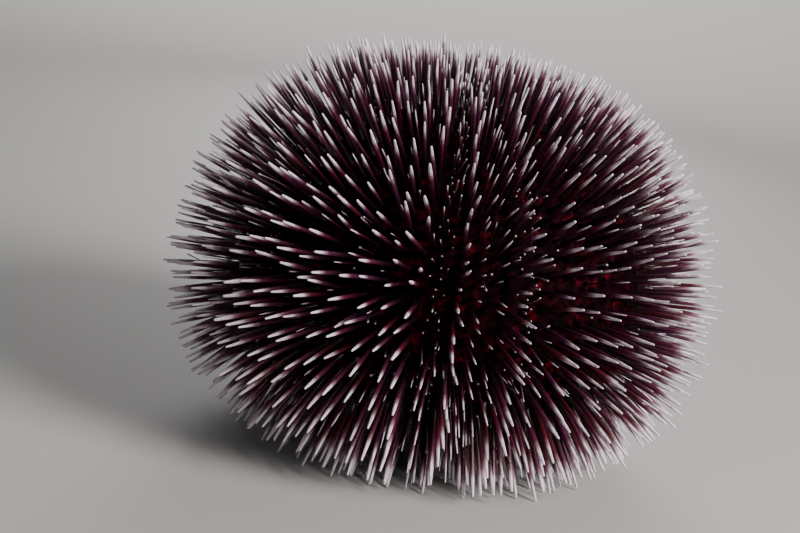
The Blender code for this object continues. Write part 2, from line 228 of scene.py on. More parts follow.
class Shell:
    """The shell's outline turned about the axis, read by the distance along it from the top."""

    def __init__(self, sizes):
        turn = np.linspace(0, math.pi, 2001)
        side = np.sin(turn).clip(0)
        up = np.cos(turn)
        above = up > 0
        power = np.where(above, 2 / sizes.crown, 2 / sizes.belly)
        depth = sizes.height * np.where(above, 1 - sizes.waist, sizes.waist)
        self.radius = sizes.radius * side**power
        waist = sizes.clearance + sizes.waist * sizes.height
        sunk = sizes.mouth_sink * (1 - self.radius / sizes.mouth_sink_radius).clip(0) * ~above
        self.height = waist + np.sign(up) * depth * np.abs(up) ** power + sunk
        steps = np.hypot(np.diff(self.radius), np.diff(self.height))
        self.along = np.concatenate([[0], np.cumsum(steps)])
        self.out = -np.gradient(self.height, self.along)
        self.up = np.gradient(self.radius, self.along)
        self.full = sizes.radius
        widest = int(np.argmax(self.radius))
        self.waist = float(self.along[widest])
        self.top = float(np.interp(sizes.disc_radius, self.radius[:widest], self.along[:widest]))
        self.mouth = float(np.interp(sizes.membrane_radius, self.radius[:widest:-1], self.along[:widest:-1]))

    def radius_at(self, distance):
        return np.interp(distance, self.along, self.radius)

    def height_at(self, distance):
        return np.interp(distance, self.along, self.height)

    def place(self, distance, angle):
        """Points on the shell and the directions straight out of it."""
        distance, angle = np.broadcast_arrays(distance, angle)
        radius, height = self.radius_at(distance), self.height_at(distance)
        out, up = np.interp(distance, self.along, self.out), np.interp(distance, self.along, self.up)
        size = np.hypot(out, up)
        turn = np.stack([np.cos(angle), np.sin(angle)], -1)
        points = np.concatenate([turn * radius[..., None] + np.array(AXIS[:2]), height[..., None]], -1)
        ways = np.concatenate([turn * (out / size)[..., None], (up / size)[..., None]], -1)
        return points, ways


def tangents(ways):
    """Two directions square to each way and to each other."""
    helper = np.where(np.abs(ways[:, 2:]) < 0.9, [[0.0, 0.0, 1.0]], [[1.0, 0.0, 0.0]])
    side = np.cross(ways, helper)
    side /= np.linalg.norm(side, axis=1, keepdims=True)
    return side, np.cross(ways, side)


class Crowd:
    """The strands that already stand, to keep each new one clear of them."""

    def __init__(self, most):
        self.count = 0
        self.starts = np.zeros((most, 3))
        self.ends = np.zeros((most, 3))
        self.rooms = np.zeros(most)

    def add(self, start, end, room):
        self.starts[self.count] = start
        self.ends[self.count] = end
        self.rooms[self.count] = room
        self.count += 1

    def admit(self, start, end, room):
        """Adds a strand if it is clear of the others, and says whether it is."""
        clear = self.least_gap(start, end, room, NEAR) > 0
        if clear:
            self.add(start, end, room)
        return clear

    def least_gap(self, start, end, room, near):
        """Smallest gap between this strand and those rooted near it, below zero where they would cross."""
        starts = self.starts[: self.count]
        close = ((starts - start) ** 2).sum(1) < near * near
        if not close.any():
            return 1.0
        a, b = starts[close], self.ends[: self.count][close]
        u, v, w = end - start, b - a, start - a
        uu, uv, vv = u @ u, v @ u, (v * v).sum(1)
        uw, vw = w @ u, (v * w).sum(1)
        spread = (uu * vv - uv * uv).clip(1e-14)
        s = ((uv * vw - vv * uw) / spread).clip(0, 1)
        t = ((uv * s + vw) / vv).clip(0, 1)
        s = ((uv * t - uw) / uu).clip(0, 1)
        apart = np.linalg.norm(w + s[:, None] * u - t[:, None] * v, axis=1)
        return float((apart - room - self.rooms[: self.count][close]).min())


class Strands:
    """Like strands, such as spines or tube feet: where each one stands and how it is shaped."""

    def __init__(self):
        self.rows = []

    def add(self, distance, angle, root, way, length, thick, tint, curl=(0.0, 0.0, 0.0)):
        self.rows.append((distance, angle, length, thick, tint, *root, *way, *curl))

    def arrays(self):
        table = np.array(self.rows).T
        named = dict(zip(("distance", "angle", "length", "thick", "tint"), table))
        return named | {"root": table[5:8].T, "way": table[8:11].T, "curl": table[11:14].T}


def levelled(strands, shell):
    """The strands' arrays with how low each one stands: 1 at the mouth, 0 at the waist, -1.1 at the disc."""
    table = strands.arrays()
    table["low"] = np.interp(table["distance"], [shell.top, shell.waist, shell.mouth], [-1.1, 0, 1])
    return table


def spine_length(shell, sizes, distance):
    """How long spines are at that distance: shorter by the disc and by the mouth."""
    from_disc = min(1.0, max(0.0, distance - shell.top) / sizes.reach)
    from_mouth = min(1.0, max(0.0, shell.mouth - distance) / sizes.reach)
    by_disc = sizes.length_by_disc + (sizes.length - sizes.length_by_disc) * from_disc
    by_mouth = sizes.length_by_mouth + (sizes.length - sizes.length_by_mouth) * from_mouth
    return min(by_disc, by_mouth)


def splayed(root, way, length):
    """Turns a strand that would reach below the floor outward, until its tip lies on it."""
    drop = (root[2] - TIP_LEVEL) / length
    if way[2] >= -drop:
        return way
    away = root[:2] - np.array(AXIS[:2])
    flat = away / np.linalg.norm(away) + way[:2] * SPLAY_SHARE
    flat /= np.linalg.norm(flat)
    run = math.sqrt(max(0.0, 1 - drop * drop))
    return np.array([flat[0] * run, flat[1] * run, -drop])


def leaning(chance, shell, distance, angle, length, lean):
    """Root and way of a strand that strays a little from straight out, and stays above the floor."""
    root, out = shell.place(distance, angle)
    way = out + chance.normal(0, lean, 3)
    return root, splayed(root, way / np.linalg.norm(way), length)


class Place(NamedTuple):
    """A column's place in half a sector, and what grows in it."""

    across: float
    band: float
    down: float
    fill: float
    shares: tuple
    strength: float


def grow(chance, crowd, shell, sizes, distance, angle, share, strength):
    """A spine with a chance lean where there is room for it, or None."""
    distance += chance.normal(0, PLACE_VARIES)
    angle += chance.normal(0, PLACE_VARIES) / float(shell.radius_at(distance))
    length = spine_length(shell, sizes, distance) * share * (1 + chance.normal(0, LENGTH_VARIES))
    root, out = shell.place(distance, angle)
    for attempt in range(TRIES):
        way = out + chance.normal(0, sizes.lean, 3) * (1 - attempt / TRIES)
        way = splayed(root, way / np.linalg.norm(way), length)
        if crowd.admit(root, root + way * length, sizes.room * strength / 2):
            return distance, angle, root, way, length
    return None


def wide_places(radius, sizes):
    """The columns of half a wide sector, the outermost a little stronger, where its edge has that radius."""
    room = radius * WIDE_ANGLE / 2 - sizes.seam_margin
    if room <= 0:
        return []
    count = max(1, int(room / sizes.column + 1))
    step = room / (count - 0.5)
    across = [room - i * step for i in range(count)] if count > 1 else [room]
    return [Place(away, 0.0, 0.0, 1.0, FULL, 1.0 if i else STRONG) for i, away in enumerate(across)]


def narrow_places(radius, below, shell, sizes):
    """The columns of half a narrow sector: a strong one, a thin one, and one among the tube feet, thin above
    the waist and stouter below."""
    share = radius / shell.full
    room = radius * NARROW_ANGLE / 2 - sizes.seam_margin
    places = []
    if room > 0.4 * MM:
        places.append(Place(min(STRONG_COLUMN * share, room), 0.0, 0.0, 1.0, FULL, 1.0))
    if share > 0.5:
        down = sizes.narrow_row / 2
        places.append(Place(THIN_COLUMN * share, 0.0, down, THIN_COLUMN_FILL, THIN_COLUMN_SHARES, THIN))
        away, band = FEET_COLUMN * share, FEET_BAND * share
        if below:
            fill, shares, strength = BELLY_COLUMN_FILL, BELLY_COLUMN_SHARES, BELLY_COLUMN_STRENGTH
            places.append(Place(away, band / 2, down, fill, shares, strength))
        else:
            places.append(Place(away, band, down, FEET_COLUMN_FILL, FEET_COLUMN_SHARES, THIN))
    return places


def sector_spines(sets, crowd, shell, sizes, sector):
    """Spines of one sector, in rows across it. The two halves of a row are half a row apart, as its plates
    are. The solids hold most of these, at the same places."""
    wide = sector % 2 == 1
    middle = ray_angle(sector / 2)
    levels = [shell.top, shell.top + sizes.reach, shell.waist, shell.waist + BELLY_DEPTH]
    span = shell.mouth - shell.top - 2 * EDGE_MARGIN
    rows = round(span / (sizes.row if wide else sizes.narrow_row))
    for row in range(rows + 1):
        for side in (-1, 1):
            at = shell.top + EDGE_MARGIN + span * (row + (0.5 if side > 0 else 0)) / rows
            if at > shell.mouth - EDGE_MARGIN:
                continue
            radius = float(shell.radius_at(at))
            below = at > shell.waist
            stout = float(np.interp(at, levels, STOUTNESS))
            places = wide_places(radius, sizes) if wide else narrow_places(radius, below, shell, sizes)
            for column, spot in enumerate(places):
                chance = np.random.default_rng((sizes.seed, sector, row, 2 * column + (side > 0)))
                if chance.random() > spot.fill:
                    continue
                thin_instead = chance.random() < THIN_INSTEAD and wide and column > 0
                across = spot.across + chance.uniform(-1, 1) * spot.band
                share = chance.uniform(*(THIN_SHARES if thin_instead else spot.shares))
                strength = THIN if thin_instead else spot.strength
                angle = middle + side * across / radius
                grown = grow(chance, crowd, shell, sizes, at + spot.down, angle, share, strength)
                if grown:
                    kind = "wide" if wide else "narrow"
                    thick = sizes.base * stout * strength**2 * (1 + chance.normal(0, THICKNESS_VARIES))
                    if strength == THIN:
                        kind = "thin"
                        thick = thick * 1.2 * (0.7 + 0.5 * share)
                    sets[kind].add(*grown, thick, chance.uniform(-1, 1))


def small_spines(thin, crowd, shell, sizes, chance):
    """Fine short spines, spread by chance in the room that the rows leave, fewer of them above the waist. The
    solids go without these."""
    for _ in range(sizes.small):
        distance = chance.uniform(shell.top + EDGE_MARGIN, shell.mouth - EDGE_MARGIN)
        fill = SMALL_FILL_ABOVE if distance < shell.waist else 1.0
        if chance.random() > fill * shell.radius_at(distance) / shell.full:
            continue
        angle = chance.uniform(0, FULL_TURN)
        share = chance.uniform(*SMALL_SHARES)
        length = spine_length(shell, sizes, distance) * share
        root, way = leaning(chance, shell, distance, angle, length, 0.07)
        if crowd.admit(root, root + way * length, 0.35 * MM):
            thick = (0.32 + 0.22 * share) * MM
            thin.add(distance, angle, root, way, length, thick, chance.uniform(-1, 1))


def pore_zone(feet, crowd, shell, chance, sizes, middle, side):
    """A band of tube feet in slanting threes along the edge of a narrow sector, most of them drawn in."""
    for row in np.arange(shell.top + 2 * MM, shell.mouth - 1 * MM, sizes.narrow_row):
        radius = float(shell.radius_at(row))
        for i in range(FEET_IN_ROW):
            across = radius * NARROW_ANGLE / 2 - (FEET_FROM_EDGE + FEET_STEP * i) * radius / shell.full
            spot = row + (i - 1) * FEET_SLANT
            if chance.random() < FEET_GONE:
                continue
            angle = middle + side * (across + chance.normal(0, 0.2 * MM)) / radius
            stretched = chance.random() < FEET_OUT and radius > 0.6 * shell.full
            length = chance.uniform(*(FOOT_LENGTHS_OUT if stretched else FOOT_LENGTHS)) * MM
            root, way = leaning(chance, shell, spot, angle, length, 0.10)
            if stretched:
                if crowd.least_gap(root, root + way * length, 0.2 * MM, NEAR) < 0:
                    continue
                crowd.add(root, root + way * length, 0.15 * MM)
            curl = chance.normal(0, 0.10, 3) * length
            feet.add(spot, angle, root, way, length, FOOT_THICKNESS, chance.uniform(-1, 1), curl)


def scatter_pincers(pincers, crowd, shell, chance):
    """Small pincer organs on stalks, spread by chance over the skin."""
    for _ in range(PINCERS):
        distance = chance.uniform(shell.top + 2 * MM, shell.mouth - 1 * MM)
        if chance.random() > shell.radius_at(distance) / shell.full:
            continue
        angle = chance.uniform(0, FULL_TURN)
        length = chance.uniform(*PINCER_LENGTHS) * MM
        root, way = leaning(chance, shell, distance, angle, length, 0.15)
        if crowd.least_gap(root, root + way * length, 0.45 * MM, 12 * MM) > 0:
            crowd.add(root, root + way * length, 0.3 * MM)
            curl = chance.normal(0, 0.12, 3) * length
            thick, tint = PINCER_THICKNESS, chance.uniform(-1, 1)
            pincers.add(distance, angle, root, way, length, thick, tint, curl)


def layout(shell, sizes):
    """Where every spine, thin spine, tube foot and pincer stands."""
    crowd = Crowd(12000)
    sets = {name: Strands() for name in ("narrow", "wide", "thin", "feet", "pincers")}
    for sector in range(2 * RAYS):
        sector_spines(sets, crowd, shell, sizes, sector)
    chance = np.random.default_rng(sizes.seed)
    small_spines(sets["thin"], crowd, shell, sizes, chance)
    for ray in range(RAYS):
        for side in (-1, 1):
            pore_zone(sets["feet"], crowd, shell, chance, sizes, ray_angle(ray), side)
    scatter_pincers(sets["pincers"], crowd, shell, chance)
    laid = {name: levelled(strands, shell) for name, strands in sets.items()}
    # Fine spines are paler over more of their length and browner, as the lowest ones are.
    laid["thin"]["low"] += 1.2
    return laid


def new_object(name, mesh, *materials):
    thing = bpy.data.objects.new(name, mesh)
    bpy.context.scene.collection.objects.link(thing)
    for material in materials:
        mesh.materials.append(material)
    return thing


def strip_map(shell, from_angle, angle_range):
    """Places on a flat map of part of the shell's side, unrolled round the axis."""

    def place(strands):
        across = ((strands["angle"] - from_angle) % FULL_TURN) / angle_range
        down = (strands["distance"] - shell.top) / (shell.mouth - shell.top)
        return 0.02 + 0.96 * across, 0.02 + 0.96 * down

    return place


def round_map(shell, radius):
    """Places on a flat map of a round cap, as seen along the axis."""

    def place(strands):
        away = 0.46 * shell.radius_at(strands["distance"]) / radius
        return 0.5 + away * np.cos(strands["angle"]), 0.5 + away * np.sin(strands["angle"])

    return place


# Corners round a strand, and how thin the ends of fine spines are
SPINE_SIDES = 10
FINE_SIDES = 7
DISC_SPINE_SIDES = 9
MOUTH_FOOT_SIDES = 16
THIN_END = 0.6
DISC_SPINE_END = 0.7

# Size of one strand's patch on the map OFBake
PATCH_ACROSS = 0.0035
PATCH_UP = 0.016


class Pattern(NamedTuple):
    """The faces of one strand: the vertices of their corners, how many corners each has, and their materials.
    And for each corner its share of the way round, its ring, and how far up the strand's patch of the map it
    lies."""

    corners: np.ndarray
    counts: np.ndarray
    slots: np.ndarray
    around: np.ndarray
    ring: np.ndarray
    up: np.ndarray


def strand_pattern(rings, sides, slots):
    """Faces of a strand with that many rings, closed by a flat foot and a low cone on top."""
    ring, i = np.meshgrid(np.arange(rings - 1), np.arange(sides), indexing="ij")
    j = (i + 1) % sides
    quads = np.stack([ring * sides + i, ring * sides + j, (ring + 1) * sides + j, (ring + 1) * sides + i], -1)
    edge = np.arange(sides)
    last = (rings - 1) * sides
    top = np.stack([last + edge, last + (edge + 1) % sides, np.full(sides, last + sides)], -1)
    foot = edge[::-1]
    counts = np.concatenate([np.full(ring.size, 4), np.full(sides, 3), [sides]])
    materials = np.concatenate([np.repeat(slots[1:], sides), np.full(sides, slots[-1]), [slots[0]]])

    quad_around = np.stack([i, i + 1, i + 1, i], -1).ravel() / sides
    quad_ring = np.stack([ring, ring, ring + 1, ring + 1], -1).ravel()
    top_around = np.stack([edge, edge + 1, edge + 0.5], -1).ravel() / sides
    turn = FULL_TURN * foot / sides
    top_ring = np.tile([rings - 1, rings - 1, rings], sides)
    corner_ring = np.concatenate([quad_ring, top_ring, np.zeros(sides, int)])
    up = np.concatenate([np.linspace(0.05, 0.96, rings), [1.0]])[corner_ring]
    up[-sides:] = 0.02 + 0.02 * np.sin(turn)
    return Pattern(
        corners=np.concatenate([quads.ravel(), top.ravel(), foot]),
        counts=counts,
        slots=materials.astype(np.int32),
        around=np.concatenate([quad_around, top_around, 0.5 + 0.4 * np.cos(turn)]),
        ring=corner_ring,
        up=up,
    )


def give_numbers(mesh, **named):
    """Gives each vertex a number under each name."""
    for name, values in named.items():
        mesh.attributes.new(name, "FLOAT", "POINT").data.foreach_set("value", values)


def give_map(mesh, name, across, up):
    """Gives each corner its place on a map."""
    mesh.uv_layers.new(name=name).data.foreach_set("uv", np.stack([across, up], -1).ravel())


def strand_piece(name, strands, profile, sides, flat_map, materials, end_factor=1.0):
    """One mesh of many like strands. Profile rows are (height in mm above the skin, share of the length,
    radius as a share of the strand's own, radius in mm, material index): a ring stands at height + share *
    length and has the sum of both radii. Each strand is closed, and holds a small patch of its own on the map
    OFBake, at its root."""
    count, rings = len(strands["length"]), len(profile)
    rise, share, factor, fixed, slots = np.array(profile, dtype=float).T
    heights = rise * MM + share * strands["length"][:, None]
    along = (heights / strands["length"][:, None]).clip(0, 1)
    taper = 1 + (end_factor - 1) * along
    radii = strands["thick"][:, None] / 2 * factor * taper + fixed * MM
    bend = along**2 * (heights > 0)
    centres = (
        strands["root"][:, None]
        + strands["way"][:, None] * heights[..., None]
        + strands["curl"][:, None] * bend[..., None]
    )
    side, across = tangents(strands["way"])
    turn = steps_round(sides)
    round_ring = np.cos(turn)[:, None] * side[:, None] + np.sin(turn)[:, None] * across[:, None]
    points = centres[:, :, None] + round_ring[:, None] * radii[..., None, None]
    last = centres[:, -1] + strands["way"] * radii[:, -1, None] * 0.5
    vertices = np.concatenate([points.reshape(count, -1, 3), last[:, None]], 1)
    vertices[..., 2] = vertices[..., 2].clip(0.0)
    per_strand = vertices.shape[1]

    pattern = strand_pattern(rings, sides, slots)
    starts = np.cumsum(pattern.counts) - pattern.counts
    corners = pattern.corners + per_strand * np.arange(count)[:, None]
    starts = starts + len(pattern.corners) * np.arange(count)[:, None]
    mesh = bpy.data.meshes.new(name)
    mesh.vertices.add(count * per_strand)
    mesh.vertices.foreach_set("co", vertices.ravel())
    mesh.loops.add(corners.size)
    mesh.loops.foreach_set("vertex_index", corners.ravel().astype(np.int32))
    mesh.polygons.add(starts.size)
    mesh.polygons.foreach_set("loop_start", starts.ravel().astype(np.int32))
    mesh.polygons.foreach_set("material_index", np.tile(pattern.slots, count))
    mesh.update(calc_edges=True)
    mesh.shade_smooth()

    root_u, root_v = flat_map(strands)
    patch_u = root_u[:, None] + (pattern.around - 0.5) * PATCH_ACROSS
    patch_v = root_v[:, None] + (pattern.up - 0.5) * PATCH_UP
    give_map(mesh, "OFBake", patch_u.ravel(), patch_v.ravel())
    tall = np.concatenate([heights, heights[:, -1:]], 1)[:, pattern.ring] / MM
    give_map(mesh, "strand", np.tile(pattern.around, count), tall.ravel())
    along = np.concatenate([np.repeat(along, sides, axis=1), np.ones((count, 1))], 1)
    give_numbers(mesh, along=along.ravel())
    for label in ("tint", "low"):
        if label in strands:
            give_numbers(mesh, **{label: np.repeat(strands[label], per_strand)})
    return new_object(name, mesh, *materials)


def between_angles(strands, start, angle):
    """The strands that stand within that angle from start."""
    inside = (strands["angle"] - start) % FULL_TURN < angle
    return {name: values[inside] for name, values in strands.items()}


class Surface:
    """A material with its Principled shader, whose plain values are given by their sockets' names. A method
    that adds a node takes values or other nodes' outputs, and returns the new node's output."""

    def __init__(self, name, **values):
        self.material = bpy.data.materials.new(name)
        self.material.use_nodes = True
        self.tree = self.material.node_tree
        self.shader = self.tree.nodes["Principled BSDF"]
        for socket, value in values.items():
            self.shader.inputs[socket.replace("_", " ")].default_value = value

    def add(self, kind, inputs, output=0, **settings):
        """One node, with its inputs by name or number."""
        made = self.tree.nodes.new("ShaderNode" + kind)
        for name, value in settings.items():
            setattr(made, name, value)
        for name, value in inputs.items():
            if isinstance(value, bpy.types.NodeSocket):
                self.tree.links.new(value, made.inputs[name])
            else:
                made.inputs[name].default_value = value
        return made.outputs[output]

    def attribute(self, name):
        return self.add("Attribute", {}, "Fac", attribute_name=name)

    def place(self):
        return self.add("TexCoord", {}, "Object")

    def strand_map(self):
        return self.add("UVMap", {}, uv_map="strand")

    def waves(self, axis, number):
        """A sine along one axis of the strand's map, so many times in each unit."""
        along = self.add("SeparateXYZ", {0: self.strand_map()}, axis)
        return self.add("Math", {0: self.product(along, number * FULL_TURN)}, operation="SINE")

    def noise(self, vector, scale, detail, roughness=0.5):
        inputs = {"Vector": vector, "Scale": scale, "Detail": detail, "Roughness": roughness}
        return self.add("TexNoise", inputs, "Fac")

    def cells(self, vector, scale):
        return self.add("TexVoronoi", {"Vector": vector, "Scale": scale}, "Distance")

    def total(self, first, second):
        return self.add("Math", {0: first, 1: second}, operation="ADD")

    def product(self, first, second):
        return self.add("Math", {0: first, 1: second}, operation="MULTIPLY")

    def raised(self, value, factor, offset):
        """value * factor + offset"""
        return self.add("Math", {0: value, 1: factor, 2: offset}, operation="MULTIPLY_ADD")

    def mapped(self, value, start, end, low, high):
        """The value, where start becomes low and end becomes high, kept between them."""
        return self.add("MapRange", {0: value, 1: start, 2: end, 3: low, 4: high})

    def stretched(self, colour, factors):
        """A vector or colour with each of its three numbers times a factor of its own."""
        return self.add("VectorMath", {0: colour, 1: factors}, operation="MULTIPLY")

    def shaded(self, colour, shade):
        return self.add("VectorMath", {0: colour, 3: shade}, operation="SCALE")

    def ramp(self, value, stops):
        """A colour by a value, from stops of (value, linear colour)."""
        colour = self.add("ValToRGB", {"Fac": value})
        elements = colour.node.color_ramp.elements
        while len(elements) < len(stops):
            elements.new(0.5)
        for element, (place, shade) in zip(elements, stops):
            element.position = place
            element.color = (*shade, 1)
        return colour

    def paint(self, colour):
        self.tree.links.new(colour, self.shader.inputs["Base Color"])

    def emboss(self, height, strength, depth):
        bump = self.add("Bump", {"Strength": strength, "Distance": depth, "Height": height})
        self.tree.links.new(bump, self.shader.inputs["Normal"])


def between(first, second, share):
    """A colour that share of the way from the first to the second."""
    return tuple(a + (b - a) * share for a, b in zip(first, second))


def spine_calcite(colours):
    """Spines are calcite grown as a bundle of ribs under a thin skin: satin, faintly see-through, with fine
    lines along them. The pigment thins out toward the end, which is bare white calcite."""
    surface = Surface(
        "spine_calcite",
        Roughness=0.34,
        IOR=1.56,
        Specular_IOR_Level=0.22,
        Subsurface_Weight=0.12,
        Subsurface_Radius=(0.9, 0.7, 0.8),
        Subsurface_Scale=0.5 * MM,
        Coat_Weight=0.06,
        Coat_Roughness=0.22,
    )
    tint, low = surface.attribute("tint"), surface.attribute("low")
    # The white end begins a little earlier or later on each spine, and is longest on the lowest spines.
    along = surface.raised(tint, 0.045, surface.attribute("along"))
    along = surface.raised(low, 0.042, along)
    # Painted shade: these stops darken each spine toward its collar, for the shade that falls between the
    # close-set spines.
    stops = [
        (0.20, colours.spine_root_and_shade),
        (0.45, between(colours.spine_root_and_shade, colours.spine_shaft, 0.45)),
        (0.66, colours.spine_shaft),
        (0.76, colours.spine_upper),
        (0.81, between(colours.spine_upper, colours.spine_tip, 0.65)),
        (0.87, colours.spine_tip),
    ]
    body = surface.ramp(along, stops)
    # Some spines are more violet, some more wine red, most between, and the lowest are the reddest.
    wine = surface.total(surface.mapped(low, 0.0, 0.8, 0.0, 1.3), tint)
    bare = surface.mapped(along, 0.55, 0.85, 1.0, 0.0)
    amount = surface.product(surface.mapped(wine, -0.6, 1.0, 0.0, 1.0), bare)
    factors = [red / violet for red, violet in zip(colours.spine_wine, colours.spine_shaft)]
    redder = surface.stretched(body, factors)
    body = surface.add("Mix", {"Factor": amount, 6: body, 7: redder}, 2, data_type="RGBA")
    # Ribs: the real ones are about 0.15 mm apart, too fine to show, so eight are drawn round a spine.
    ribs = surface.waves("X", 8)
    mottle = surface.mapped(surface.noise(surface.strand_map(), 1.3, 3.0, 0.6), 0.3, 0.7, 0.82, 1.08)
    shade = surface.product(surface.raised(ribs, 0.10, 0.90), mottle)
    # Painted shade: shafts are darkened round the disc, where less light reaches them.
    crown = surface.mapped(low, -1.1, -0.1, -0.45, 0.0)
    shade = surface.product(shade, surface.raised(crown, bare, 1.0))
    surface.paint(surface.shaded(body, shade))
    surface.emboss(ribs, 0.35, 0.08 * MM)
    return surface.material


def living_skin(colours):
    """The skin is living tissue over the shell: wet, dark and mottled, with red patches and grains. Its
    darkness is partly its own and partly painted shade, for the shade that falls between the spines.
    """
    surface = Surface(
        "living_skin",
        Roughness=0.6,
        IOR=1.36,
        Specular_IOR_Level=0.02,
        Subsurface_Weight=0.10,
        Subsurface_Radius=(1.0, 0.25, 0.2),
        Subsurface_Scale=0.6 * MM,
    )
    # Patches 3 mm across, grains 0.55 mm across
    patches = surface.noise(surface.place(), 1 / (3.0 * MM), 5.0, 0.62)
    grains = surface.mapped(surface.cells(surface.place(), 1 / (0.55 * MM)), 0.1, 0.7, 1.25, 0.6)
    stops = [
        (0.42, colours.skin_dark),
        (0.56, colours.skin),
        (0.64, between(colours.skin, colours.skin_red, 0.45)),
        (0.72, colours.skin_red),
    ]
    surface.paint(surface.shaded(surface.ramp(patches, stops), grains))
    surface.emboss(grains, 0.6, 0.2 * MM)
    return surface.material


def tube_foot_flesh(colours):
    """A tube foot is a thin hose of flesh that lets light through, with a paler disc that holds on."""
    surface = Surface(
        "tube_foot_flesh",
        Roughness=0.38,
        IOR=1.38,
        Subsurface_Weight=0.3,
        Subsurface_Radius=(1.0, 0.4, 0.4),
        Subsurface_Scale=0.4 * MM,
    )
    stops = [
        (0.0, colours.skin),
        (0.35, colours.foot),
        (0.75, between(colours.foot, colours.foot_end, 0.25)),
        (0.92, between(colours.foot, colours.foot_end, 0.5)),
        (0.96, colours.foot_end),
    ]
    body = surface.ramp(surface.attribute("along"), stops)
    # Rings of muscle 0.35 mm apart
    rings = surface.waves("Y", 1 / 0.35)
    surface.paint(surface.shaded(body, surface.raised(rings, 0.12, 0.95)))
    return surface.material


def plate_calcite(colours):
    """Plates of the disc are calcite under a film of skin: matt, no two of one shade, dark in the seams."""
    surface = Surface(
        "plate_calcite", Roughness=0.55, IOR=1.5, Subsurface_Weight=0.05, Subsurface_Scale=0.4 * MM
    )
    stops = [(0.1, colours.skin_dark), (0.45, colours.skin), (0.9, colours.plate)]
    body = surface.ramp(surface.attribute("inside"), stops)
    # Grain 0.25 mm across
    grain = surface.noise(surface.place(), 1 / (0.25 * MM), 2.0)
    light = surface.raised(surface.attribute("tint"), 0.25, 0.95)
    shade = surface.product(light, surface.mapped(grain, 0.35, 0.65, 0.75, 1.2))
    surface.paint(surface.shaded(body, shade))
    surface.emboss(grain, 0.5, 0.06 * MM)
    return surface.material


def membrane_leather(colours):
    """The membrane round the mouth is tough wet skin: brown-pink, wrinkled, with tiny plates let into it."""
    surface = Surface(
        "membrane_leather",
        Roughness=0.45,
        IOR=1.38,
        Subsurface_Weight=0.15,
        Subsurface_Radius=(1.0, 0.4, 0.3),
        Subsurface_Scale=0.6 * MM,
    )
    # Plates 0.8 mm apart, wrinkles 0.4 mm apart
    plates = surface.cells(surface.place(), 1 / (0.8 * MM))
    wrinkles = surface.noise(surface.place(), 1 / (0.4 * MM), 4.0)
    stops = [
        (0.12, between(colours.membrane, (0.8, 0.7, 0.65), 0.25)),
        (0.3, colours.membrane),
        (0.8, between(colours.membrane, colours.skin, 0.5)),
    ]
    shade = surface.mapped(wrinkles, 0.3, 0.7, 0.7, 1.15)
    surface.paint(surface.shaded(surface.ramp(plates, stops), shade))
    surface.emboss(shade, 0.7, 0.15 * MM)
    return surface.material


def tooth_enamel(colours):
    """Teeth are dense calcite, worn smooth: hard, pale and glossy, with stained streaks that run down them."""
    depth = 0.5 * MM
    surface = Surface("tooth_enamel", Roughness=0.22, IOR=1.6, Subsurface_Weight=0.1, Subsurface_Scale=depth)
    # Streaks 0.3 mm apart that run down the tooth
    down = surface.stretched(surface.place(), (1.0, 1.0, 0.12))
    streaks = surface.noise(down, 1 / (0.3 * MM), 2.0)
    stain = between(colours.tooth, (0.35, 0.22, 0.14), 0.45)
    surface.paint(surface.ramp(streaks, [(0.3, stain), (0.6, colours.tooth)]))
    return surface.material


def studio_paint(colours):
    """Matt studio paint."""
    return Surface("studio_paint", Roughness=0.85, Base_Color=(*colours.floor, 1)).material


def polar(radius, angle):
    """Point (x, y) at that distance and angle about the shell's axis."""
    return radius * math.cos(angle), radius * math.sin(angle)


def ringed_mesh(name, points, closed_centre=True):
    """A round sheet from rings of points, given as (ring, step round, xyz), with its last ring drawn together
    or left open."""
    rings, around = points.shape[:2]
    vertices = points.reshape(-1, 3)
    row, column = np.meshgrid(np.arange(rings - 1) * around, np.arange(around), indexing="ij")
    after = (column + 1) % around
    quads = np.stack([row + column, row + around + column, row + around + after, row + after], -1)
    faces = quads.reshape(-1, 4).tolist()
    if closed_centre:
        vertices = np.concatenate([vertices, points[-1].mean(0)[None]])
        last = (rings - 1) * around
        faces += [[last + i, len(vertices) - 1, last + (i + 1) % around] for i in range(around)]
    mesh = bpy.data.meshes.new(name)
    mesh.from_pydata(vertices, [], faces)
    mesh.shade_smooth()
    return mesh


def skin_mesh(shell):
    """The skin over the shell, from the disc to the mouth, with the seams between its plates pressed in."""
    around, down = 420, 210
    distance = np.linspace(shell.top - 0.2 * MM, shell.mouth + 0.2 * MM, down + 1)
    distance, angle = np.meshgrid(distance, steps_round(around), indexing="ij")
    points, ways = shell.place(distance, angle)
    turn = (angle - FRONT) / (FULL_TURN / RAYS)
    from_middle = np.abs((turn + 0.5) % 1 - 0.5) * FULL_TURN / RAYS
    from_side = np.abs(from_middle - NARROW_ANGLE / 2) * shell.radius_at(distance)
    press = -0.25 * MM * np.exp(-((from_side / (0.7 * MM)) ** 2))
    in_pores = (from_middle < NARROW_ANGLE / 2) & (from_middle > NARROW_ANGLE / 2 * 0.6)
    ripple = 0.12 * MM * np.sin(distance / (1.8 * MM) * np.pi) * in_pores
    lift = -0.1 * MM + press + ripple
    mesh = ringed_mesh("skin", points + ways * lift[..., None], closed_centre=False)
    row, column = np.meshgrid(np.arange(down), np.arange(around), indexing="ij")
    across = np.stack([column, column, column + 1, column + 1], -1).ravel() / around
    up = np.stack([row, row + 1, row + 1, row], -1).ravel() / down
    give_map(mesh, "OFBake", across * 0.98 + 0.01, up * 0.98 + 0.01)
    return mesh


class Step:
    """Hands the scene's sizes and colours to a step's own build."""

    def execute(self, context):
        scene = context.scene
        self.build(scene, Shell(scene.urchin_shell), scene.urchin_colours)
        return {"FINISHED"}


class URCHIN_OT_skin(Step, bpy.types.Operator):
    """Builds the one skin that covers all ten sectors of the shell"""

    bl_idname = "urchin.skin"
    bl_label = "Skin"

    def build(self, scene, shell, colours):
        skin = new_object("skin", skin_mesh(shell), living_skin(colours))
        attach(skin, "root")
        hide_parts(*NARROW_NODES, *WIDE_NODES)


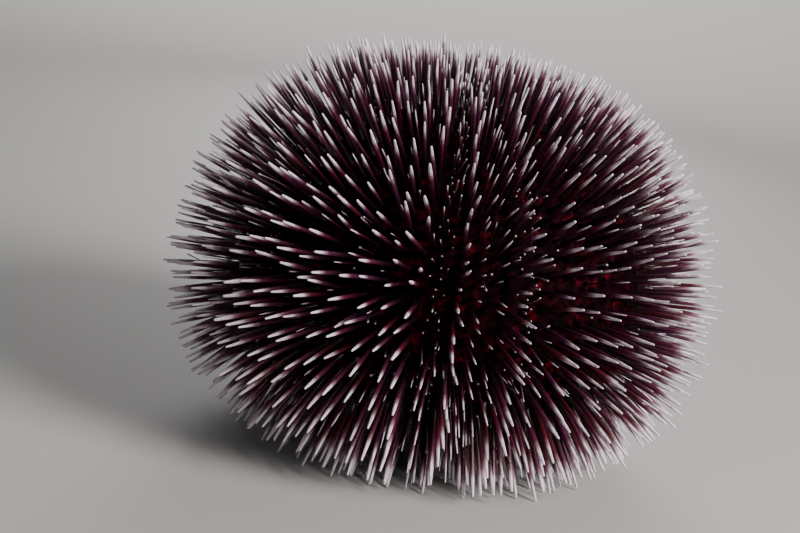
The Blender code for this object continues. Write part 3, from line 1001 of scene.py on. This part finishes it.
# Height in mm, share of the length, radius as a share of the spine's, radius in mm, material
SPINE_PROFILE = [
    (-0.6, 0.0, 0.0, 1.65, 1),
    (0.12, 0.0, 0.0, 1.35, 1),
    (0.50, 0.0, 0.55, 0.45, 1),
    (0.85, 0.0, 1.12, 0.12, 1),
    (1.15, 0.0, 1.18, 0.10, 0),
    (1.45, 0.0, 0.98, 0.0, 0),
    (0.0, 0.35, 1.04, 0.0, 0),
    (0.0, 0.62, 1.12, 0.0, 0),
    (0.0, 0.74, 1.08, 0.0, 0),
    (0.0, 0.86, 0.92, 0.0, 0),
    (0.0, 0.955, 0.78, 0.0, 0),
    (0.0, 0.995, 0.63, 0.0, 0),
]

THIN_PROFILE = [
    (-0.4, 0.0, 0.0, 0.85, 1),
    (0.25, 0.0, 0.6, 0.35, 1),
    (0.60, 0.0, 1.2, 0.10, 0),
    (0.90, 0.0, 0.95, 0.0, 0),
    (0.0, 0.55, 1.05, 0.0, 0),
    (0.0, 0.82, 0.95, 0.0, 0),
    (0.0, 0.985, 0.60, 0.0, 0),
]

FOOT_PROFILE = [
    (-0.3, 0.0, 1.3, 0.0, 0),
    (0.0, 0.05, 1.1, 0.0, 0),
    (0.0, 0.2, 1.0, 0.0, 0),
    (0.0, 0.4, 0.9, 0.0, 0),
    (0.0, 0.6, 0.85, 0.0, 0),
    (0.0, 0.8, 0.8, 0.0, 0),
    (0.0, 0.92, 0.9, 0.0, 0),
    (0.0, 0.97, 1.25, 0.0, 0),
    (0.0, 1.0, 1.15, 0.0, 0),
]

PINCER_PROFILE = [
    (-0.3, 0.0, 1.2, 0.0, 0),
    (0.0, 0.1, 1.0, 0.0, 0),
    (0.0, 0.45, 0.8, 0.0, 0),
    (0.0, 0.80, 0.9, 0.0, 0),
    (-0.65, 1.0, 1.4, 0.06, 0),
    (-0.40, 1.0, 1.4, 0.15, 0),
    (-0.12, 1.0, 1.0, 0.10, 0),
    (0.0, 1.0, 0.4, 0.02, 0),
]


class URCHIN_OT_spines(Step, bpy.types.Operator):
    """Builds the spines, each sector's in a piece of its own, and the tube feet and pincers"""

    bl_idname = "urchin.spines"
    bl_label = "Spines"

    def build(self, scene, shell, colours):
        laid = layout(shell, scene.urchin_spines)
        materials = (spine_calcite(colours), living_skin(colours))
        tip = scene.urchin_spines.tip / scene.urchin_spines.base
        for kind, sector_angle in (("narrow", NARROW_ANGLE), ("wide", WIDE_ANGLE)):
            angle = sector_angle + SLICE_SPARE
            for ray in range(RAYS):
                start = ray_angle(ray + 0.5 * (kind == "wide")) - angle / 2
                group = between_angles(laid[kind], start, angle)
                flat_map = strip_map(shell, start, angle)
                name = f"spines_{kind}_{ray + 1}"
                piece = strand_piece(name, group, SPINE_PROFILE, SPINE_SIDES, flat_map, materials, tip)
                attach(piece, "root")
        for ray in range(RAYS):
            start, angle = ray_angle(ray - 0.5), FULL_TURN / RAYS
            group = between_angles(laid["thin"], start, angle)
            flat_map = strip_map(shell, start, angle)
            name = f"thin_spines_{ray + 1}"
            piece = strand_piece(name, group, THIN_PROFILE, FINE_SIDES, flat_map, materials, THIN_END)
            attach(piece, "root")
        flesh = tube_foot_flesh(colours)
        flat_map = strip_map(shell, 0.0, FULL_TURN)
        for name, group, profile in (
            ("tube_feet", laid["feet"], FOOT_PROFILE),
            ("pincers", laid["pincers"], PINCER_PROFILE),
        ):
            piece = strand_piece(name, group, profile, FINE_SIDES, flat_map, (flesh,))
            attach(piece, "root")


# Where the vent lies on the disc
VENT = (0.25 * MM, 0.1 * MM)


def disc_plate_centres(chance):
    """Plates of the disc, each as (x, y, size): five genital, five ocular, and small ones round the vent."""
    centres = []
    for ray in range(RAYS):
        size = 1.25 if ray == 0 else 0.85
        centres.append((*polar(4.5 * MM, ray_angle(ray + 0.5)), size * MM))
        centres.append((*polar(6.6 * MM, ray_angle(ray)), 0.1 * MM))
    for i in range(8):
        turn = FULL_TURN * (i + chance.uniform(-0.2, 0.2)) / 8
        centres.append((*polar(1.6 * MM, turn), -0.25 * MM))
    centres.append((*VENT, -0.35 * MM))
    return np.array(centres)


def disc_mesh(shell, chance):
    """The plated disc at the top. Each plate stands a little above its seams; the largest one is porous."""
    centres = disc_plate_centres(chance)
    distance = np.linspace(shell.top - 0.25 * MM, 0.05 * MM, 110)
    distance, angle = np.meshgrid(distance, steps_round(240), indexing="ij")
    points, ways = shell.place(distance, angle)
    flat = shell.radius_at(distance)[..., None] * np.stack([np.cos(angle), np.sin(angle)], -1)
    apart = np.linalg.norm(flat[..., None, :] - centres[:, :2], axis=-1) - centres[:, 2]
    order = np.argsort(apart, axis=-1)
    nearest, second = np.take_along_axis(apart, order[..., :2], -1).transpose(2, 0, 1)
    plate = order[..., 0]
    inside = ((second - nearest) / (0.55 * MM)).clip(0, 1)
    lift = 0.42 * MM * np.sqrt(inside) - 0.25 * MM
    lift += 0.18 * MM * (1 - (nearest + 1.3 * MM).clip(0) / (2.6 * MM)).clip(0)
    # A pore in each genital plate, and the vent
    holes = [(polar(5.75 * MM, ray_angle(ray + 0.5)), 0.30 * MM) for ray in range(RAYS)] + [(VENT, 0.4 * MM)]
    for place, size in holes:
        lift -= 0.5 * MM * np.exp(-((np.linalg.norm(flat - np.array(place), axis=-1) / size) ** 2))
    pits = np.sin(flat[..., 0] / (0.085 * MM)) * np.sin(flat[..., 1] / (0.085 * MM))
    lift += 0.06 * MM * pits * (plate == 0) * inside
    mesh = ringed_mesh("disc", points + ways * lift[..., None])
    tint = chance.uniform(-1, 1, len(centres))[plate]
    named = {"inside": inside, "tint": tint}
    give_numbers(mesh, **{name: np.append(values.ravel(), values[-1, 0]) for name, values in named.items()})
    return mesh


# Short spines of the disc in each ray: distance from the axis in mm, place round it in rays, turn from there,
# and length in mm
DISC_SPINES = [
    (3.3, 0.5, -0.30, 5.5),
    (3.4, 0.5, 0.28, 6.0),
    (4.6, 0.5, -0.28, 7.5),
    (4.8, 0.5, 0.24, 7.0),
    (6.2, 0.0, -0.12, 9.5),
    (6.3, 0.0, 0.13, 10.0),
    (2.0, 0.5, 0.1, 3.6),
]


def disc_strands(shell, chance):
    """The short spines of the disc."""
    crowd = Crowd(200)
    spines = Strands()
    for ray in range(RAYS):
        for away, share, turn, long in DISC_SPINES:
            distance = away * MM + chance.normal(0, 0.15 * MM)
            length = long * MM * chance.uniform(0.85, 1.15)
            angle = ray_angle(ray + share) + turn
            root, way = leaning(chance, shell, distance, angle, length, 0.08)
            if crowd.admit(root, root + way * length, 0.5 * MM):
                spines.add(distance, angle, root, way, length, 0.8 * MM, chance.uniform(-1, 1))
    return levelled(spines, shell)


class URCHIN_OT_disc(Step, bpy.types.Operator):
    """Builds the plated disc at the top, with its short spines"""

    bl_idname = "urchin.disc"
    bl_label = "Disc"

    def build(self, scene, shell, colours):
        chance = np.random.default_rng(scene.urchin_spines.seed + 1)
        disc = new_object("disc", disc_mesh(shell, chance), plate_calcite(colours))
        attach(disc, "root")
        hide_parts("apical_disc")
        materials = (spine_calcite(colours), living_skin(colours))
        flat_map = round_map(shell, scene.urchin_shell.disc_radius)
        spines = disc_strands(shell, chance)
        sides, end = DISC_SPINE_SIDES, DISC_SPINE_END
        piece = strand_piece("disc_spines", spines, THIN_PROFILE, sides, flat_map, materials, end)
        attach(piece, "root")


def membrane_mesh(shell, sizes):
    """The leathery membrane round the mouth, with its folds, its thick lip and the hollow of the teeth."""
    edge = sizes.membrane_radius - 0.05 * MM
    level = float(shell.height_at(shell.mouth))
    lip = 4.6 * MM
    outer = np.linspace(edge, lip + 1.3 * MM, 60)
    profile = [(radius, level - 1 * MM * (edge - radius) / (edge - lip)) for radius in outer]
    foot = profile[-1][1]
    for t in np.linspace(0.15, math.pi, 14):
        radius = lip + 0.65 * MM + 0.65 * MM * math.cos(t)
        profile.append((radius, foot - 0.75 * MM * math.sin(t)))
    profile += [(lip, foot + rise * MM) for rise in (0.5, 1.0, 2.0, 3.0)]
    profile += [(radius * MM, foot + 3.3 * MM) for radius in (4.2, 3.0, 1.5)]
    radius, height = np.array(profile).T
    radius, angle = np.meshgrid(radius, steps_round(200), indexing="ij")
    height = np.broadcast_to(height[:, None], radius.shape).copy()
    on_sheet = ((radius - lip - 1.2 * MM) / (1.5 * MM)).clip(0, 1) * ((edge - radius) / (0.8 * MM)).clip(0, 1)
    wave = 0.35 * np.sin(5 * (angle - FRONT)) + 0.2 * np.sin(13 * angle + 1.3)
    wave += 0.5 * np.sin(3 * angle + radius / (1.7 * MM))
    broken = 0.55 + 0.45 * np.sin(9 * angle + radius / (0.8 * MM)) * np.sin(4 * angle - radius / (1.3 * MM))
    height += 0.14 * MM * np.sin(FULL_TURN * radius / (1.15 * MM) + 3 * wave) * broken * on_sheet
    at_lip = np.exp(-(((radius - lip - 0.6 * MM) / (0.8 * MM)) ** 2))
    height += 0.14 * MM * np.cos(34 * angle + 4 * wave) * at_lip
    points = np.stack([radius * np.cos(angle) + AXIS[0], radius * np.sin(angle) + AXIS[1], height], -1)
    return ringed_mesh("membrane", points)


def tooth_mesh(name, level, turn):
    """A tooth: a curved blade that thins to a chisel, grooved along its outer face and keeled inside."""
    points = []
    # Share of the way down: distance from the axis, height above the membrane, width and depth in mm
    shares = np.linspace(0, 1, 25)
    stops = [0, 0.35, 0.6, 0.85, 1.0]
    away = np.interp(shares, stops, [2.3, 2.35, 2.0, 1.1, 0.62])
    rise = np.interp(shares, stops, [3.0, 0.9, -0.7, -2.1, -2.55])
    width = np.interp(shares, stops, [2.5, 2.4, 2.0, 1.25, 0.8])
    depth = np.interp(shares, stops, [2.0, 1.9, 1.5, 0.8, 0.25])
    turns = steps_round(28)
    side = np.sign(np.sin(turns)) * np.abs(np.sin(turns)) ** 0.7
    front = np.cos(turns)
    groove = -0.16 * np.exp(-((side / 0.3) ** 2)) * (front > 0)
    keel = -0.20 * np.exp(-((side / 0.25) ** 2)) * (front < 0)
    for i in range(len(shares)):
        outward = away[i] + (np.sign(front) * np.abs(front) ** 0.7 * 0.5 + groove + keel) * depth[i]
        across = side * width[i] / 2 * np.where(front < 0, 0.75, 1.0)
        x = outward * math.cos(turn) - across * math.sin(turn)
        y = outward * math.sin(turn) + across * math.cos(turn)
        z = np.full_like(x, rise[i])
        points.append(np.stack([x * MM + AXIS[0], y * MM + AXIS[1], z * MM + level], -1))
    return ringed_mesh(name, np.array(points))


# Height in mm, share of the length, radius as a share of the foot's, radius in mm, material
MOUTH_FOOT_PROFILE = [
    (-0.5, 0.0, 1.35, 0.0, 0),
    (0.1, 0.0, 1.15, 0.0, 0),
    (0.0, 0.25, 0.85, 0.0, 0),
    (0.0, 0.50, 0.72, 0.0, 0),
    (0.0, 0.72, 0.78, 0.0, 0),
    (0.0, 0.84, 1.15, 0.0, 0),
    (0.0, 0.93, 1.30, 0.0, 0),
    (0.0, 0.99, 1.15, 0.0, 0),
]


# The tube feet round the mouth: their distance from the axis, and the turn of each from the middle of a pair
MOUTH_FOOT_AWAY = 8.2 * MM
MOUTH_FOOT_TURN = math.radians(11)


def mouth_foot_strands(shell, level, chance):
    """The ten tube feet round the mouth, which hang down and a little outward."""
    feet = Strands()
    distance = float(np.interp(MOUTH_FOOT_AWAY, shell.radius[::-1], shell.along[::-1]))
    for ray in range(RAYS):
        for side in (-1, 1):
            angle = ray_angle(ray) + side * MOUTH_FOOT_TURN
            root = np.array([*polar(MOUTH_FOOT_AWAY, angle), level - 0.6 * MM])
            root[:2] += AXIS[:2]
            way = np.array([*polar(0.25, angle), -1.0]) + chance.normal(0, 0.08, 3)
            way /= np.linalg.norm(way)
            curl = chance.normal(0, 0.2 * MM, 3)
            feet.add(distance, angle, root, way, 2.7 * MM, 1.4 * MM, chance.uniform(-1, 1), curl)
    return feet.arrays()


class URCHIN_OT_mouth(Step, bpy.types.Operator):
    """Builds the membrane round the mouth, its ten tube feet and the five teeth"""

    bl_idname = "urchin.mouth"
    bl_label = "Mouth"

    def build(self, scene, shell, colours):
        chance = np.random.default_rng(scene.urchin_spines.seed + 2)
        level = float(shell.height_at(shell.mouth))
        membrane = new_object("membrane", membrane_mesh(shell, scene.urchin_shell), membrane_leather(colours))
        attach(membrane, "root")
        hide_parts("peristome")
        feet = mouth_foot_strands(shell, level, chance)
        flesh = tube_foot_flesh(colours)
        flat_map = round_map(shell, 9.5 * MM)
        sides = MOUTH_FOOT_SIDES
        piece = strand_piece("mouth_feet", feet, MOUTH_FOOT_PROFILE, sides, flat_map, (flesh,))
        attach(piece, "root")
        enamel = tooth_enamel(colours)
        for ray in range(RAYS):
            name = f"{TOOTH_NODES[ray]}_blade"
            tooth = new_object(name, tooth_mesh(name, level, ray_angle(ray + 0.5)), enamel)
            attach(tooth, "root")
            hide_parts(TOOTH_NODES[ray])


class URCHIN_OT_studio(Step, bpy.types.Operator):
    """Sets up the floor, the soft lights and the camera"""

    bl_idname = "urchin.studio"
    bl_label = "Studio"

    def build(self, scene, shell, colours):
        floor = new_object("studio_floor", studio_bowl(), studio_paint(colours))
        world = bpy.data.worlds.new("studio_air")
        world.use_nodes = True
        air = world.node_tree.nodes["Background"].inputs
        air["Color"].default_value = (0.85, 0.88, 0.92, 1)
        air["Strength"].default_value = 0.10
        scene.world = world
        soft_light("key_light", (0.58, -0.40, 0.44), 0.36, 17, (1.0, 0.97, 0.94))
        soft_light("fill_light", (-0.75, -0.65, 0.40), 0.7, 1.3, (0.86, 0.90, 1.0))
        soft_light("back_light", (0.0, 0.86, 0.34), 0.5, 1.3, (1.0, 1.0, 1.0), spread=70)
        # Its narrow beam passes behind the object and lights the wall alone.
        soft_light("wall_light", (0.0, 0.3, 1.6), 1.2, 14.0, (1.0, 1.0, 1.0), (0.0, 1.4, 0.3), 70)
        look_from(scene)


def studio_bowl():
    """A floor that turns up into a wall all round, far from the object."""
    flat, bend, wall_top = 0.9, 0.6, 1.8
    profile = [(flat + bend, wall_top)]
    for turn in np.linspace(math.pi / 2, 0.1, 12):
        profile.append((flat + bend * math.sin(turn), bend * (1 - math.cos(turn))))
    profile += [(flat, 0.0), (flat - 0.3, 0.0)]
    radius, height = np.array(profile).T
    angle = steps_round(96)
    x, y = np.outer(radius, np.cos(angle)), np.outer(radius, np.sin(angle))
    return ringed_mesh("studio_floor", np.stack([x, y, np.outer(height, np.ones(len(angle)))], -1))


def soft_light(name, place, size, power, colour, aim=(0, 0, 0.05), spread=180):
    """A round soft light that faces the aim and isn't seen itself."""
    light = bpy.data.lights.new(name, "AREA")
    light.shape = "DISK"
    light.size = size
    light.spread = math.radians(spread)
    light.energy = power
    light.color = colour
    thing = bpy.data.objects.new(name, light)
    thing.location = place
    thing.rotation_euler = (Vector(aim) - Vector(place)).to_track_quat("-Z", "Y").to_euler()
    thing.visible_camera = False
    bpy.context.scene.collection.objects.link(thing)


def look_from(scene):
    """The camera at the photograph's height and distance, rolled as the photograph is."""
    elevation, distance, roll = math.radians(13), 0.425, math.radians(8.5)
    back = Vector((0, -math.cos(elevation), math.sin(elevation)))
    turn = (-back).to_track_quat("-Z", "Y").to_matrix() @ Matrix.Rotation(roll, 3, "Z")
    middle = Vector((0, 0, 0.0525))
    # The animal stands right of the picture's middle and a little above it, as in the photograph.
    aim = middle + turn @ Vector((-0.0122, -0.0048, 0))
    data = bpy.data.cameras.new("camera")
    data.lens = 70
    data.sensor_width = 36
    data.clip_start = 0.01
    data.clip_end = 20
    camera = bpy.data.objects.new("camera", data)
    camera.location = aim + back * distance
    camera.rotation_euler = turn.to_euler()
    scene.collection.objects.link(camera)
    scene.camera = camera


class URCHIN_PT_panel(bpy.types.Panel):
    """Lists the sizes, the colours and the steps"""

    bl_idname = "URCHIN_PT_panel"
    bl_label = "Sea Urchin"
    bl_space_type = "VIEW_3D"
    bl_region_type = "UI"
    bl_category = "Sea Urchin"

    def draw(self, context):
        for group in (context.scene.urchin_shell, context.scene.urchin_spines, context.scene.urchin_colours):
            box = self.layout.box()
            for name in group.__annotations__:
                box.prop(group, name)
        for step in STEPS:
            self.layout.operator(step.bl_idname)


GROUPS = {
    "urchin_shell": URCHIN_PG_shell,
    "urchin_spines": URCHIN_PG_spines,
    "urchin_colours": URCHIN_PG_colours,
}
STEPS = (URCHIN_OT_skin, URCHIN_OT_spines, URCHIN_OT_disc, URCHIN_OT_mouth, URCHIN_OT_studio)


def register():
    for made in (*GROUPS.values(), *STEPS, URCHIN_PT_panel):
        bpy.utils.register_class(made)
    for name, group in GROUPS.items():
        setattr(bpy.types.Scene, name, PointerProperty(type=group))


def unregister():
    for name in GROUPS:
        delattr(bpy.types.Scene, name)
    for made in reversed((*GROUPS.values(), *STEPS, URCHIN_PT_panel)):
        bpy.utils.unregister_class(made)


def main():
    register()
    bpy.ops.urchin.skin()
    bpy.ops.urchin.spines()
    bpy.ops.urchin.disc()
    bpy.ops.urchin.mouth()
    bpy.ops.urchin.studio()


if __name__ == "__main__":
    main()
